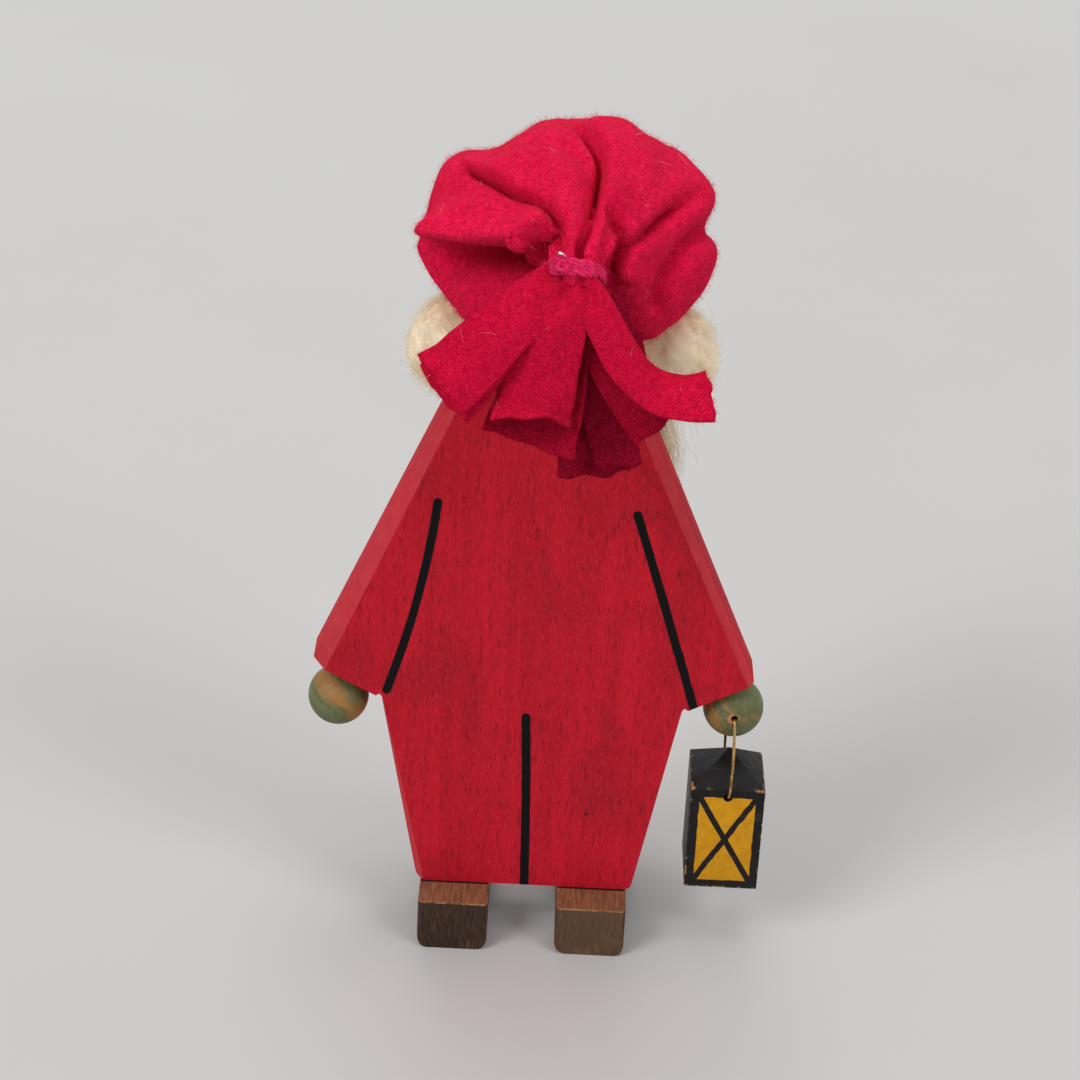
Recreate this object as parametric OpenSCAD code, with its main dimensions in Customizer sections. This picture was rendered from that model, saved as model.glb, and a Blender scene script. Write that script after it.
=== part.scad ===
// Wooden tomte: a stained board figure with a felt cap, a wool beard and a hanging lantern.
// The figure looks towards -Y, its right hand is at -X, and the floor is at Z = 0.
// Modules draw in the figure's own frame, whose X = 0, Y = 0 is the middle of the board.
// placed() then moves the figure so that the origin is under the middle of its bounding box.

/* [Body board] */
// Thickness of the board
board_t = 20; // [19:0.5:21]
// Height of the board's top edge above the floor
board_top = 202; // [196:1:204]
// Half width of the board at its top edge
shoulder_w = 28; // [26:0.5:30]
// Half width at the outer tip of a sleeve
cuff_w = 72; // [71:0.5:73]
// Height of the outer tip of a sleeve
cuff_z = 101.6; // [100:0.2:103]
// Half width at the inner corner of a sleeve
armpit_w = 51.2; // [50.6:0.2:52]
// Height of the inner corner of a sleeve
armpit_z = 90.6; // [89:0.2:92]
// Half width of the trousers just under the sleeves
waist_w = 49.3; // [48:0.1:50]
// Half width of the trousers at the bottom
hem_w = 36.8; // [36:0.2:38]
// Bevel of the left arm's back edge, at the shoulder and at the tip
left_arm_bevel = [3.0, 4.6]; // [1:0.1:5]
// Bevel of the right arm's back edge, at the shoulder and at the tip
right_arm_bevel = [3.1, 2.2]; // [1:0.1:5]
// Bevel of the left trouser leg's back edge, under the sleeve and at the hem
left_leg_bevel = [0.4, 3.0]; // [0.2:0.1:4]
// Bevel of the right trouser leg's back edge, under the sleeve and at the hem
right_leg_bevel = [0.4, 0.8]; // [0.2:0.1:4]

/* [Feet] */
// Width of a foot block
foot_w = 23.5; // [22:0.5:25]
// Height of a foot block
foot_h = 18.6; // [17:0.2:20]
// Distance from the middle of the figure to the middle of a foot
foot_x = 23.2; // [23:0.2:25]
// How far the heel stands out behind the board
heel = 12.8; // [10:0.2:15]
// How far the toe stands out in front of the board
toe = 23; // [18:0.5:26]

/* [Head] */
// Diameter of the head ball
head_d = 62; // [60:1:64]
// Sideways offset of the head on the board
head_x = -4; // [-5:0.5:0]
// Diameter of the nose bead
nose_d = 12; // [10:0.5:13]

/* [Cap] */
// Radius of the cap at its widest
cap_r = 44.5; // [43:0.5:46]
// Height of the cap's top above the floor
cap_top = 286; // [284:0.5:288]
// Radius of the felt where the tie gathers it
gather_r = 9; // [8:0.5:10]
// Thickness of the felt
felt_t = 1.4; // [1:0.1:2]

/* [Hands and lantern] */
// Diameter of a hand ball
hand_d = 20; // [19:0.5:20]
// Width and depth of the lantern block
lantern_w = 24.5; // [22:0.5:26]
// Height of the lantern block up to the eaves
lantern_h = 39; // [36:0.5:41]
// Height of the lantern's roof
roof_h = 9.3; // [8:0.1:11]
// Distance from the hand's wire hole to the lantern's hinge
wire_drop = 27.9; // [26:0.1:29]
// Diameter of the brass wire
wire_d = 1; // [0.8:0.1:1.2]

/* [Hidden] */
$fn = 96;

stain_red = [0.56, 0.02, 0.04];
felt_red = [0.70, 0.02, 0.09];
wool_cream = [0.80, 0.70, 0.54];
bare_wood = [0.76, 0.58, 0.38];
hand_green = [0.24, 0.27, 0.13];
shoe_brown = [0.22, 0.12, 0.07];
brass_yellow = [0.72, 0.52, 0.22];

// Gaps: glued fits have this radial play, and soft pieces keep clear of their neighbours.
glue_gap = 0.03;
soft_gap = 0.3;
// Cutters reach this far past the solids that they cut.
past = 1;

board_half_t = board_t / 2;
// Bevels of the board's front edges, each at its start and at its end.
front_arm_bevel = [3, 3.5];
front_leg_bevel = [0.4, 2];

// Sleeve ends: direction along the end edge, outward normal and middle of the edge, in X and Z.
cuff_run = [cuff_w - armpit_w, cuff_z - armpit_z];
cuff_along = cuff_run / norm(cuff_run);
cuff_out = [cuff_along[1], -cuff_along[0]];
cuff_mid = [(cuff_w + armpit_w) / 2, (cuff_z + armpit_z) / 2];
cuff_turn = atan2(cuff_out[0], -cuff_out[1]);

// Rounding of a foot: its sole's long edges, its toe from above, its toe from the side, its heel
// corners and its top edges.
sole_r = 4;
toe_corner_r = 9;
toe_top_r = 8;
heel_r = 1.5;
foot_top_r = 0.8;

// Dowels and pegs.
neck_dowel_d = 8;
neck_depth = 24;
neck_rise = 22;
foot_dowel_d = 6;
foot_dowel_up = 18;
foot_dowel_down = 12;
hand_peg_d = 5;
hand_peg_in = 16;
hand_peg_out = 6;
bore_spare = 0.5;

// Hands: distance of each ball's middle from the sleeve end, and its slip along that end.
hand_r = hand_d / 2;
left_hand_at = [11.4, -3.2];
right_hand_at = [hand_r + 0.05, 0.3];

// Head and nose.
head_r = head_d / 2;
head_flat = 1;
head_z = board_top + head_r - head_flat;
head_pos = [head_x, 0, head_z];
nose_r = nose_d / 2;
nose_drop = 3;
nose_pos = [head_x, -head_r - nose_r / 2, head_z - nose_drop];
nose_tenon_d = 5;
nose_tenon = 7;

// Beard: a lens of wool in front of the board and the chin.
beard_r = 43;
beard_deep = 22;
beard_pos = [head_x, -14, 196];
beard_back_y = -6;
face_r = 20;
face_z = head_z + 10;

// Side tufts of wool under the cap.
tuft_r = 14;
tuft_x = 33;
tuft_y = 5;
tuft_z = 213;
tuft_front_y = -5.6;
tuft_top = head_z - 6;

// Cap: a bag turned about an axis that leans back, gathered behind the head.
cap_lean = 12;
cap_aside = 1;
cap_brim_r = head_r + 3;
cap_brim_z = 2;
cap_rise = cap_top - head_z;
cap_wide_z = 22;
cap_flat = 4.5;
tie_pos = [head_x - 2, 46, 257];
tie_lean = 22;
tie_band = [2.6, 5.2];
neck_down = 3;
neck_up = 13;
tails_clear_y = 38.5;
tails_clear_z = [211, 250];
pin_d = 0.9;
pin_len = 9;
pin_turn = 55;
pin_aside = 4;
pin_up = 7;

// Tail strips: fan angle to the figure's left, outward lean, layer, length, width at the cut end.
strip_start = 7;
strip_start_w = 2.4;
layer_step = 2;
last_layer = 3;
strips = [
    [42, 7, 3, 54, 22],
    [11, 7, 3, 52, 20],
    [-44, 7, 3, 58, 19],
    [32, 2, 2, 58, 21],
    [-28, 2, 2, 66, 20],
    [8, -3, 1, 69, 20],
    [-17, -3, 1, 74, 20],
    [-8, -8, 0, 77, 22],
    [-15, 7, 3, 45, 15]];

// Lantern and wire. The wire lies in the plane of the hand's hole and hangs straight down.
hand_hole_d = 2.4;
hand_hole_rise = 1.0;
wire_play = 0.075;
wire_r = wire_d / 2;
right_hand_pos = hand_centre(-1, right_hand_at);
wire_x = right_hand_pos[0];
left_hand_pos = hand_centre(1, left_hand_at);
wire_top = right_hand_pos[2] + hand_hole_rise - hand_hole_d / 2 + wire_r + wire_play;
wire_low = wire_top - wire_drop;
lantern_hole_d = 2.8;
lantern_hole_z = wire_low - lantern_hole_d / 2 + wire_r + wire_play;
eave_drop = 3;
eave_z = lantern_hole_z + eave_drop;
lantern_half = lantern_w / 2;
wire_bend_r = 1.5;
wire_spare = 0.2;
wire_in = 7;

// The figure reaches from the lantern to the left hand, and from the nose to the tie.
nose_front = head_r + 1.5 * nose_r;
tie_back = tie_pos[1] + (gather_r + tie_band[0]) * cos(tie_lean) + tie_band[1] / 2 * sin(tie_lean);
figure_shift = [
    (lantern_half - wire_x - left_hand_pos[0] - hand_r) / 2,
    (nose_front - tie_back) / 2,
    0];

// Middle of a hand ball; side is +1 for the left hand and -1 for the right one.
function hand_centre(side, at) = [
    side * (cuff_mid[0] + at[0] * cuff_out[0] + at[1] * cuff_along[0]),
    0,
    cuff_mid[1] + at[0] * cuff_out[1] + at[1] * cuff_along[1]];

// Points of an arc about a middle point, from one angle to another.
function arc(middle, r, from, to, steps = 8) =
    [for (i = [0 : steps]) middle + r * [cos(from + (to - from) * i / steps),
                                         sin(from + (to - from) * i / steps)]];

// Outline of a block w wide and h high with its four corners rounded.
function block_outline(w, h, low_r, top_r) = concat(
    arc([w / 2 - low_r, low_r], low_r, -90, 0),
    arc([w / 2 - top_r, h - top_r], top_r, 0, 90),
    arc([-w / 2 + top_r, h - top_r], top_r, 90, 180),
    arc([-w / 2 + low_r, low_r], low_r, 180, 270));

module placed() {
    translate(figure_shift) children();
}

// Turns an outline drawn in X and Z into a plate centred on Y = 0.
module plate(t) {
    rotate([90, 0, 0]) linear_extrude(t, center = true) children();
}

// Outline of one half of the figure, from the hem up to the shoulder.
function half_outline() = let (hem_r = 2.6, notch = 0.8) concat(
    arc([hem_w - hem_r, foot_h + hem_r], hem_r, -90, -8),
    [[waist_w, armpit_z - 0.1],
     [(waist_w + armpit_w) / 2 - 0.3, armpit_z + notch],
     [armpit_w, armpit_z],
     [cuff_w, cuff_z],
     [shoulder_w, board_top]]);

// The same points on the other side of X = 0, in the order that closes the outline.
function mirrored(points) = [for (i = [len(points) - 1 : -1 : 0]) [-points[i][0], points[i][1]]];

// Half space to cut off a bevel that runs from p0 to p1 on the back face, at 45 degrees.
// bevel holds its size at p0 and at p1.
module back_bevel(p0, p1, bevel, past_start, past_end) {
    reach = 14;
    run = p1 - p0;
    slope = (bevel[1] - bevel[0]) / norm(run);
    tilt = atan(slope / sqrt(2));
    translate([p0[0], board_half_t, p0[1]])
        rotate([0, -atan2(run[1], run[0]), 0])
            rotate([90, 0, 0]) mirror([0, 0, 1])
                translate([0, 0, -bevel[0]])
                    rotate([45, 0, 0]) rotate([0, 0, -tilt])
                        translate([-past_start, 0, -reach])
                            cube([norm(run) + past_start + past_end, reach, 2 * reach]);
}

// Bevels of one side, on its back face. Running the arm edge upwards keeps its outside on the left.
module side_bevels(arm, leg) {
    back_bevel([shoulder_w, board_top], [cuff_w, cuff_z], arm, 6, 6);
    back_bevel([waist_w, armpit_z - 0.1], [hem_w, foot_h], leg, 0, 4);
}

// The frame of a hand ball: its Z axis points up into the sleeve.
module along_sleeve(side, at) {
    translate(hand_centre(side, at)) rotate([0, -side * cuff_turn, 0]) children();
}

module body_board() {
    color(stain_red) placed() difference() {
        plate(board_t) polygon(concat(half_outline(), mirrored(half_outline())));
        side_bevels(left_arm_bevel, left_leg_bevel);
        mirror([1, 0, 0]) side_bevels(right_arm_bevel, right_leg_bevel);
        mirror([0, 1, 0]) side_bevels(front_arm_bevel, front_leg_bevel);
        mirror([0, 1, 0]) mirror([1, 0, 0]) side_bevels(front_arm_bevel, front_leg_bevel);
        translate([head_x, 0, board_top - neck_depth])
            cylinder(h = neck_depth + past, d = neck_dowel_d + 2 * glue_gap);
        for (side = [-1, 1])
            translate([side * foot_x, 0, foot_h - past])
                cylinder(h = foot_dowel_up + bore_spare + past, d = foot_dowel_d + 2 * glue_gap);
        along_sleeve(1, left_hand_at)
            cylinder(h = left_hand_at[0] + hand_peg_in + bore_spare, d = hand_peg_d + 2 * glue_gap);
        along_sleeve(-1, right_hand_at)
            cylinder(h = right_hand_at[0] + hand_peg_in + bore_spare, d = hand_peg_d + 2 * glue_gap);
    }
}

module neck_dowel() {
    color(bare_wood) placed()
        translate([head_x, 0, board_top - neck_depth + bore_spare])
            cylinder(h = neck_depth - bore_spare + neck_rise, d = neck_dowel_d);
}

// A foot is a block with rounded lower edges and a rounded toe.
module foot(side) {
    long = heel + board_t + toe;
    color(shoe_brown) placed() translate([side * foot_x, 0, 0]) difference() {
        intersection() {
            translate([0, board_half_t + heel - long / 2, 0])
                plate(long) polygon(block_outline(foot_w, foot_h, sole_r, foot_top_r));
            translate([0, -board_half_t - toe, -past]) linear_extrude(foot_h + 2 * past)
                polygon(block_outline(foot_w, long, toe_corner_r, heel_r));
            translate([0, -board_half_t - toe, 0]) rotate([90, 0, 90])
                linear_extrude(foot_w + 2 * past, center = true)
                    polygon(concat([[0, 0], [long, 0]],
                        arc([long - foot_top_r, foot_h - foot_top_r], foot_top_r, 0, 90),
                        arc([toe_top_r, foot_h - toe_top_r], toe_top_r, 90, 180)));
        }
        translate([0, 0, foot_h - foot_dowel_down - bore_spare])
            cylinder(h = foot_dowel_down + bore_spare + past, d = foot_dowel_d + 2 * glue_gap);
    }
}

module foot_dowel(side) {
    color(bare_wood) placed()
        translate([side * foot_x, 0, foot_h - foot_dowel_down])
            cylinder(h = foot_dowel_down + foot_dowel_up, d = foot_dowel_d);
}

// A turned ball, bored for its peg. The right one is also drilled from front to back for the wire.
module hand(side, at) {
    color(hand_green) placed() difference() {
        translate(hand_centre(side, at)) rotate([0, 0, side < 0 ? 180 : 0]) sphere(d = hand_d);
        along_sleeve(side, at)
            translate([0, 0, hand_r - hand_peg_out - bore_spare])
                cylinder(h = hand_d, d = hand_peg_d + 2 * glue_gap);
        if (side < 0)
            translate(right_hand_pos + [0, 0, hand_hole_rise]) rotate([90, 0, 0])
                cylinder(h = hand_d + 2 * past, d = hand_hole_d, center = true);
    }
}

// The peg ends short of the wire's hole, which crosses the ball behind it.
module hand_peg(side, at) {
    color(bare_wood) placed()
        along_sleeve(side, at)
            translate([0, 0, hand_r - hand_peg_out])
                cylinder(h = at[0] - hand_r + hand_peg_out + hand_peg_in, d = hand_peg_d);
}

module head() {
    color(bare_wood) placed() difference() {
        translate(head_pos) sphere(r = head_r);
        translate([head_x - head_r, -head_r, board_top - head_d]) cube(head_d);
        translate([head_x, 0, board_top - past])
            cylinder(h = neck_rise + bore_spare + past, d = neck_dowel_d + 2 * glue_gap);
        translate([nose_pos[0], -head_r + nose_tenon, nose_pos[2]]) rotate([90, 0, 0])
            cylinder(h = head_r, d = nose_tenon_d + 2 * glue_gap);
    }
}

// The nose is a bead hollowed at the back to sit on the head, with a turned tenon.
module nose() {
    color(bare_wood) placed() {
        difference() {
            translate(nose_pos) sphere(r = nose_r);
            translate(head_pos) sphere(r = head_r + glue_gap);
        }
        translate([nose_pos[0], -head_r + nose_tenon - bore_spare, nose_pos[2]]) rotate([90, 0, 0])
            cylinder(h = nose_tenon, d = nose_tenon_d);
    }
}

// Room that wool has to leave for the head, the board and the face.
module wool_room() {
    translate(head_pos) sphere(r = head_r + soft_gap);
    translate([-cuff_w, -board_half_t - soft_gap, 0])
        cube([2 * cuff_w, board_t + 2 * soft_gap, board_top + soft_gap]);
}

// Two balls that meet in a lens beard_r wide and beard_deep deep to each side.
module beard() {
    ball_r = (pow(beard_r, 2) + pow(beard_deep, 2)) / (2 * beard_deep);
    color(wool_cream) placed() difference() {
        intersection() {
            translate(beard_pos + [0, ball_r - beard_deep, 0]) sphere(r = ball_r);
            translate(beard_pos - [0, ball_r - beard_deep, 0]) sphere(r = ball_r);
            translate([head_x - beard_r, beard_back_y - 2 * beard_r, 0])
                cube([2 * beard_r, 2 * beard_r, face_z]);
        }
        wool_room();
        translate([head_x, 0, face_z]) rotate([90, 0, 0]) cylinder(h = cuff_w, r = face_r);
        translate(nose_pos) sphere(r = nose_r + soft_gap);
    }
}

module hair(side) {
    color(wool_cream) placed() difference() {
        intersection() {
            translate([head_x + side * tuft_x, tuft_y, tuft_z]) sphere(r = tuft_r);
            translate([-cuff_w, tuft_front_y, 0]) cube([2 * cuff_w, cuff_w, tuft_top]);
        }
        wool_room();
    }
}

// Half section of the cap: radius against height above the middle of the head.
function cap_section() = concat(
    [[0, cap_brim_z]],
    [for (a = [-90 : 10 : 0]) [
        cap_brim_r + (cap_r - cap_brim_r) * cos(a),
        cap_brim_z + (cap_wide_z - cap_brim_z) * (1 + sin(a))]],
    [for (a = [10 : 10 : 90]) [
        cap_r * pow(cos(a), 0.85),
        cap_wide_z + (cap_rise - cap_wide_z) * sin(a)]]);

// The frame of the gather: its Z axis points up the neck of felt, into the cap.
module at_tie() {
    translate(tie_pos) rotate([tie_lean, 0, 0]) children();
}

// Two turned bags set apart in Y meet in a shape that is wider than it is deep.
module cap() {
    color(felt_red) placed() difference() {
        union() {
            intersection_for (y = [-cap_flat, cap_flat])
                translate(head_pos + [cap_aside, y, 0]) rotate([-cap_lean, 0, 0])
                    rotate_extrude() polygon(cap_section());
            at_tie() translate([0, 0, -neck_down]) cylinder(h = neck_down + neck_up, r = gather_r);
        }
        translate(head_pos) sphere(r = head_r + soft_gap);
        translate([-cap_r, tails_clear_y, tails_clear_z[0]])
            cube([2 * cap_r, cap_r, tails_clear_z[1] - tails_clear_z[0]]);
        at_tie() tie_room();
    }
}

// The groove that the tie presses into the felt.
module tie_room() {
    difference() {
        cylinder(h = tie_band[1] + 2 * glue_gap, r = gather_r + tie_band[0] + soft_gap, center = true);
        cylinder(h = tie_band[1] + 2 * past, r = gather_r, center = true);
    }
}

module cap_tie() {
    color(felt_red) placed() at_tie() translate([0, 0, -tie_band[1] / 2])
        rotate_extrude() translate([gather_r + tie_band[0] / 2 + glue_gap, 0])
            polygon(block_outline(tie_band[0], tie_band[1], 1.2, 1.2));
}

// A dressmaker's pin that shows in the felt just above the tie.
module cap_pin() {
    color("silver") placed() at_tie()
        translate([pin_aside, gather_r + 1, pin_up]) rotate([pin_turn, -pin_turn / 2, 0])
            cylinder(h = pin_len, d = pin_d);
}

// A strip widens from the tie to its cut end.
module tail_strip(index) {
    spec = strips[index - 1];
    color(felt_red) placed() translate(tie_pos + [0, (spec[2] - last_layer / 2) * layer_step, 0])
        rotate([spec[1], 0, 0]) rotate([0, -spec[0], 0])
            plate(felt_t) polygon([
                [-strip_start_w / 2, -strip_start],
                [strip_start_w / 2, -strip_start],
                [spec[4] / 2, -spec[3]],
                [-spec[4] / 2, -spec[3]]]);
}

// A quarter turn of wire in its own plane, from one angle clockwise.
module wire_bend(middle, from) {
    translate([0, middle[0], middle[1]]) rotate([90, 0, 90]) rotate([0, 0, from - 90])
        rotate_extrude(angle = 90) translate([wire_bend_r, 0]) circle(r = wire_r, $fn = 32);
}

// A straight run of wire from a point of its plane, at an angle from straight down.
module wire_run(from, outwards, long) {
    translate([0, from[0], from[1]]) rotate([180 + outwards, 0, 0])
        cylinder(h = long, r = wire_r, $fn = 32);
}

// Half of the wire: over the hand, down one face of the lantern and into its hole.
module half_wire() {
    bend_y = lantern_half + wire_spare;
    top_bend = [bend_y, wire_top - wire_bend_r];
    low_bend = [bend_y, wire_low + wire_bend_r];
    wire_run([0, wire_top], 90, bend_y);
    wire_bend(top_bend, 90);
    wire_run(top_bend + [wire_bend_r, 0], 0, wire_drop - 2 * wire_bend_r);
    wire_bend(low_bend, 0);
    wire_run([bend_y, wire_low], -90, wire_in);
}

module lantern_wire() {
    color(brass_yellow) placed() translate([wire_x, 0, 0]) {
        half_wire();
        mirror([0, 1, 0]) half_wire();
    }
}

// The lantern is one painted block; two gabled prisms at right angles meet in its hipped roof.
module lantern() {
    low_z = eave_z - lantern_h;
    gable = [
        [-lantern_half, low_z],
        [lantern_half, low_z],
        [lantern_half, eave_z],
        [0, eave_z + roof_h],
        [-lantern_half, eave_z]];
    color("gold") placed() translate([wire_x, 0, 0]) difference() {
        intersection() {
            plate(lantern_w) polygon(gable);
            rotate([0, 0, 90]) plate(lantern_w) polygon(gable);
        }
        translate([0, 0, lantern_hole_z]) rotate([90, 0, 0])
            cylinder(h = lantern_w + 2 * past, d = lantern_hole_d, center = true);
    }
}

body_board();
neck_dowel();
foot(1);  // foot_left
foot(-1);  // foot_right
foot_dowel(1);  // foot_dowel_left
foot_dowel(-1);  // foot_dowel_right
hand(1, left_hand_at);  // hand_left
hand(-1, right_hand_at);  // hand_right
hand_peg(1, left_hand_at);  // hand_peg_left
hand_peg(-1, right_hand_at);  // hand_peg_right
head();
nose();
beard();
hair(1);  // hair_left
hair(-1);  // hair_right
cap();
cap_tie();
cap_pin();
tail_strip(1);  // tail_strip_1
tail_strip(2);  // tail_strip_2
tail_strip(3);  // tail_strip_3
tail_strip(4);  // tail_strip_4
tail_strip(5);  // tail_strip_5
tail_strip(6);  // tail_strip_6
tail_strip(7);  // tail_strip_7
tail_strip(8);  // tail_strip_8
tail_strip(9);  // tail_strip_9
lantern_wire();
lantern();
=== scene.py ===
from math import cos, hypot, pi, radians, sin, sqrt

import bmesh
import bpy
import numpy as np
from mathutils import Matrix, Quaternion, Vector


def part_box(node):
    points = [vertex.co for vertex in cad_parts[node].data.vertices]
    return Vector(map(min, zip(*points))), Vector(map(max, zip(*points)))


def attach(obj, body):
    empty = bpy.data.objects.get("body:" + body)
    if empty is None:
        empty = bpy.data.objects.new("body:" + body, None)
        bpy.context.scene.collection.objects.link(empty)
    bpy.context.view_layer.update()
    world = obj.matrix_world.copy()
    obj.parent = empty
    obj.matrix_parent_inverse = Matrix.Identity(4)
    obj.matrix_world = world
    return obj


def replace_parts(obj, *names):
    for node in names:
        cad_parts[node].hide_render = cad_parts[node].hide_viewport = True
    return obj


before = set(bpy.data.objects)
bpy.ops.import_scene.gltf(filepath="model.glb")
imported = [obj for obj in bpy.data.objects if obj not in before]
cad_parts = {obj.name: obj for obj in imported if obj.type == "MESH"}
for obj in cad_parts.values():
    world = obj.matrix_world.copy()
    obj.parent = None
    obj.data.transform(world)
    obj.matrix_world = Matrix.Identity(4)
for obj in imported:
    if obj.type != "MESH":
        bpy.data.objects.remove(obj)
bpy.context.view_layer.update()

# The figure looks towards -Y, and the camera stands behind it, at +Y. Lengths are in metres.
MM = 0.001
X, Y, Z = np.eye(3)
# Added to vectors that may be zero before they are divided by their length.
TINY = 1e-12


# ---------------- places taken from the frame

def corners(node):
    low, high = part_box(node)
    return np.array(low), np.array(high)


def middle(node):
    low, high = corners(node)
    return (low + high) / 2


BOARD_LOW, BOARD_HIGH = corners("body_board")
BOARD = middle("body_board")
HEAD_R = (corners("head")[1] - corners("head")[0])[0] / 2
HEAD = np.array([middle("head")[0], middle("head")[1], corners("head")[1][2] - HEAD_R])
CAP_LOW, CAP_HIGH = corners("cap")
CAP_R = (CAP_HIGH[0] - CAP_LOW[0]) / 2
TIE = middle("cap_tie")
TIE_R = (corners("cap_tie")[1] - corners("cap_tie")[0])[0] / 2
NOSE = middle("nose")
LANTERN_LOW, LANTERN_HIGH = corners("lantern")
WIRE_LOW, WIRE_HIGH = corners("lantern_wire")
WIRE_R = (WIRE_HIGH[0] - WIRE_LOW[0]) / 2
HAND_R = (corners("hand_left")[1] - corners("hand_left")[0])[0] / 2
# The eaves are just above the hole that takes the wire's ends.
EAVE_Z = WIRE_LOW[2] + WIRE_R + 2.2 * MM


# ---------------- small tools

def unit(v):
    return v / np.linalg.norm(v, axis=-1, keepdims=True)


def smooth(t):
    t = np.clip(t, 0, 1)
    return t * t * (3 - 2 * t)


def leant_back(angle):
    """The upward direction, leant back towards +Y by an angle in radians."""
    return Y * sin(angle) + Z * cos(angle)


def ripple(points, size, seed, waves=6):
    """A smooth random value from about -1 to 1 at each point, with waves of the given length."""
    rng = np.random.default_rng(seed)
    total = np.zeros(points.shape[:-1])
    for _ in range(waves):
        direction = unit(rng.normal(size=3)) * rng.uniform(0.6, 1.6)
        total += np.sin(points @ direction * (2 * pi / size) + rng.uniform(0, 2 * pi))
    return total / sqrt(waves)


def bow(line, count):
    """Points along a smooth curve through the points of a line."""
    line = np.array(line, float)
    line = np.vstack([2 * line[0] - line[1], line, 2 * line[-1] - line[-2]])
    t = np.linspace(0, len(line) - 3 - 1e-9, count)
    i = t.astype(int)
    f = (t - i)[:, None]
    p0, p1, p2, p3 = (line[i + k] for k in range(4))
    return 0.5 * (2 * p1 + (p2 - p0) * f + (2 * p0 - 5 * p1 + 4 * p2 - p3) * f ** 2
                  + (3 * p1 - 3 * p2 + p3 - p0) * f ** 3)


def linked(name, data):
    """An object of a mesh, light or camera, linked to the scene."""
    thing = bpy.data.objects.new(name, data)
    bpy.context.scene.collection.objects.link(thing)
    return thing


def riding(name, mesh, material, body):
    """A smooth mesh object that rides on a body and takes the given material."""
    mesh.polygons.foreach_set("use_smooth", [True] * len(mesh.polygons))
    mesh.materials.append(material)
    piece = linked(name, mesh)
    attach(piece, body)
    return piece


def make_piece(name, vertices, faces, material, slot, body="root"):
    """A piece from a list of vertices and faces."""
    mesh = bpy.data.meshes.new(name)
    mesh.from_pydata(np.asarray(vertices).tolist(), [], faces)
    mesh.update()
    return riding(name, mesh, material, body)


def grid_faces(rows, columns, closed, start=0):
    """Quads between a grid's points. In a closed grid the last column is joined to the first."""
    i = np.arange(rows - 1)[:, None]
    j = np.arange(columns if closed else columns - 1)[None, :]
    k = (j + 1) % columns
    quads = np.stack([i * columns + j, i * columns + k, (i + 1) * columns + k, (i + 1) * columns + j], -1)
    return (quads.reshape(-1, 4) + start).tolist()


def grid_normals(grid, closed):
    """Unit normals of a grid of points, towards the side of down x across."""
    down = np.gradient(grid, axis=0)
    if closed:
        across = np.roll(grid, -1, 1) - np.roll(grid, 1, 1)
    else:
        across = np.gradient(grid, axis=1)
    return unit(np.cross(down, across) + TINY)


def softened(grid, times, closed):
    """The grid with each inner point moved towards its neighbours."""
    for _ in range(times):
        if closed:
            sides = (np.roll(grid, 1, 1) + np.roll(grid, -1, 1)) / 2
        else:
            sides = np.concatenate([grid[:, :1], (grid[:, :-2] + grid[:, 2:]) / 2, grid[:, -1:]], 1)
        ends = np.concatenate([grid[:1], (grid[:-2] + grid[2:]) / 2, grid[-1:]], 0)
        grid = 0.5 * grid + 0.25 * (sides + ends)
    return grid


def felt_shell(outer, thickness, closed):
    """Vertices and faces of a closed sheet of felt: an outer grid, an inner one below it, and the rim."""
    rows, columns = outer.shape[:2]
    count = rows * columns
    inner = outer - grid_normals(outer, closed) * thickness
    faces = grid_faces(rows, columns, closed)
    faces += [face[::-1] for face in grid_faces(rows, columns, closed, count)]
    index = np.arange(count).reshape(rows, columns)
    if closed:
        borders = [index[0], index[-1, ::-1]]
    else:
        borders = [np.concatenate([index[0], index[1:, -1], index[-1, -2::-1], index[-2:0:-1, 0]])]
    for border in borders:
        loop = border.tolist()
        faces += [[b, a, a + count, b + count] for a, b in zip(loop, loop[1:] + loop[:1])]
    return np.concatenate([outer.reshape(-1, 3), inner.reshape(-1, 3)]), faces


def tubes(paths, radii, sides=3):
    """Vertices and faces of closed tubes along paths (tubes x points x 3) of the given radii."""
    paths = np.asarray(paths)
    many, count = paths.shape[:2]
    radii = np.broadcast_to(radii, (many, count))[..., None, None]
    along = unit(np.gradient(paths, axis=1) + TINY)
    mean = unit(along.mean(axis=1) + TINY)
    away = np.where(np.abs(mean[:, 2:]) < 0.8, Z, X)
    first = unit(np.cross(along, away[:, None, :]))
    second = np.cross(along, first)
    angle = np.arange(sides) * 2 * pi / sides
    ring = first[:, :, None, :] * np.cos(angle)[:, None] + second[:, :, None, :] * np.sin(angle)[:, None]
    vertices = (paths[:, :, None, :] + ring * radii).reshape(-1, 3)
    i = np.arange(many)[:, None, None] * count * sides
    j = np.arange(count - 1)[None, :, None] * sides
    k = np.arange(sides)[None, None, :]
    after = (k + 1) % sides
    here = i + j
    quads = np.stack(np.broadcast_arrays(here + k, here + after, here + sides + after, here + sides + k), -1)
    starts = np.arange(many)[:, None] * count * sides
    near = (starts + np.arange(sides)[::-1]).tolist()
    far = (starts + (count - 1) * sides + np.arange(sides)).tolist()
    return vertices, quads.reshape(-1, 4).tolist() + near + far


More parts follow.
